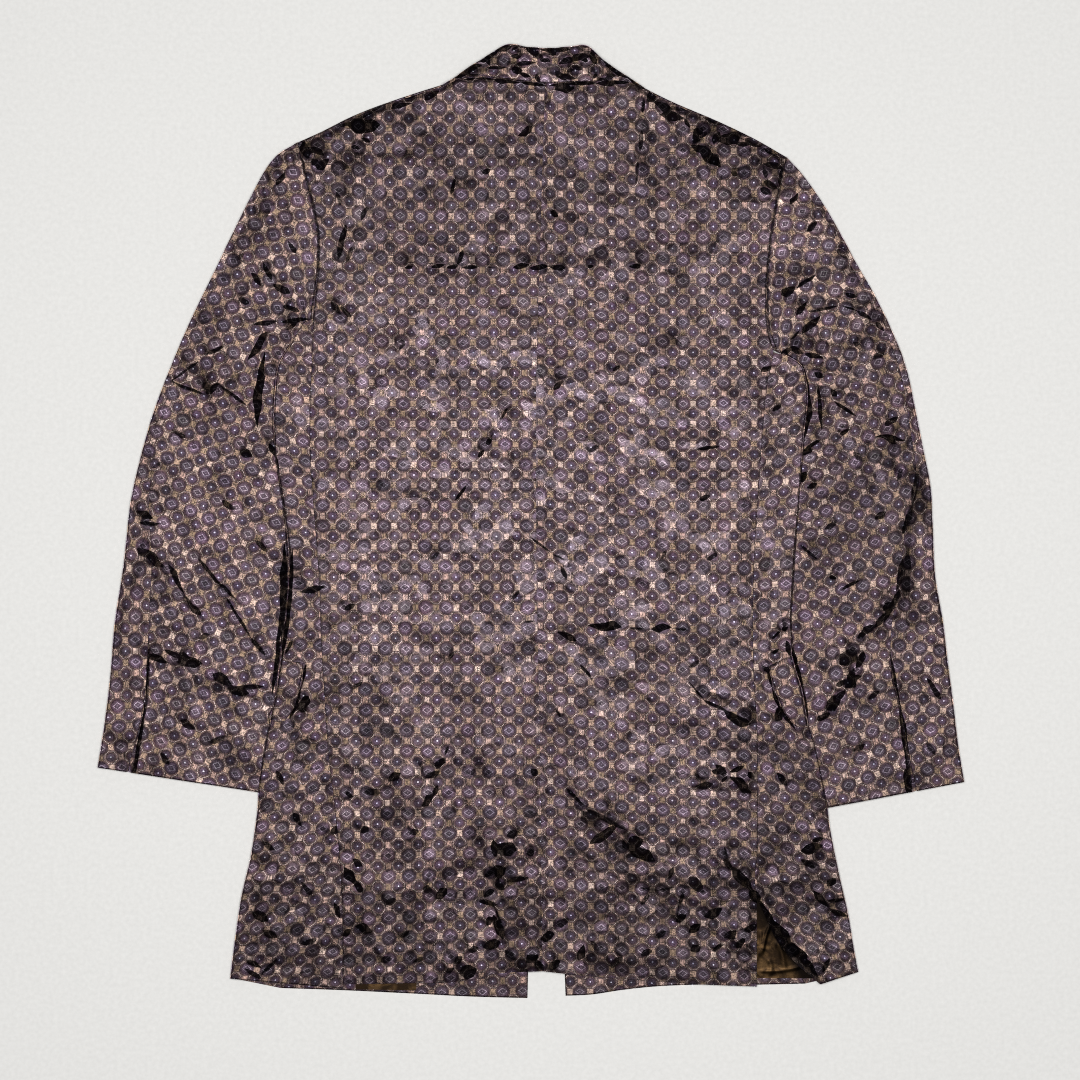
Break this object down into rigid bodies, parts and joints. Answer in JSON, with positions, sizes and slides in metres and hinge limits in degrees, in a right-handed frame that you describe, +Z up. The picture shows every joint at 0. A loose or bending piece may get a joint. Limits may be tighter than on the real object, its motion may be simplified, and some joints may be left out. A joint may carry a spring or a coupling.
{
  "type": "blazer, laid flat",
  "caption": "Long blazer in a silky woven repeat, laid flat on its fronts with the back up, sleeves beside the body, side vents and pocket flaps.",
  "frame": {"origin": "middle of the outline's box, on the floor that the garment lies on", "axes": "+Y towards the collar, +X to the wearer's right, +Z up, away from the floor"},
  "size_m": [0.7806, 0.8578, 0.012],
  "materials": {
    "satin": "silky woven repeat of dark plum discs and tan squares on mauve brown, with a satin sheen",
    "lining": "plain brown satin lining"
  },
  "bodies": {
    "root": {"back_left": "satin", "back_right": "satin", "side_left": "satin", "side_right": "satin", "front_left": "satin", "front_right": "satin", "sleeve_upper_left": "satin", "sleeve_upper_right": "satin", "sleeve_under_left": "satin", "sleeve_under_right": "satin", "collar": "satin", "lapel_left": "satin", "lapel_right": "satin", "pocket_flap_left": "satin", "pocket_flap_right": "satin", "lining_left": "lining", "lining_right": "lining"}
  },
  "joints": []
}
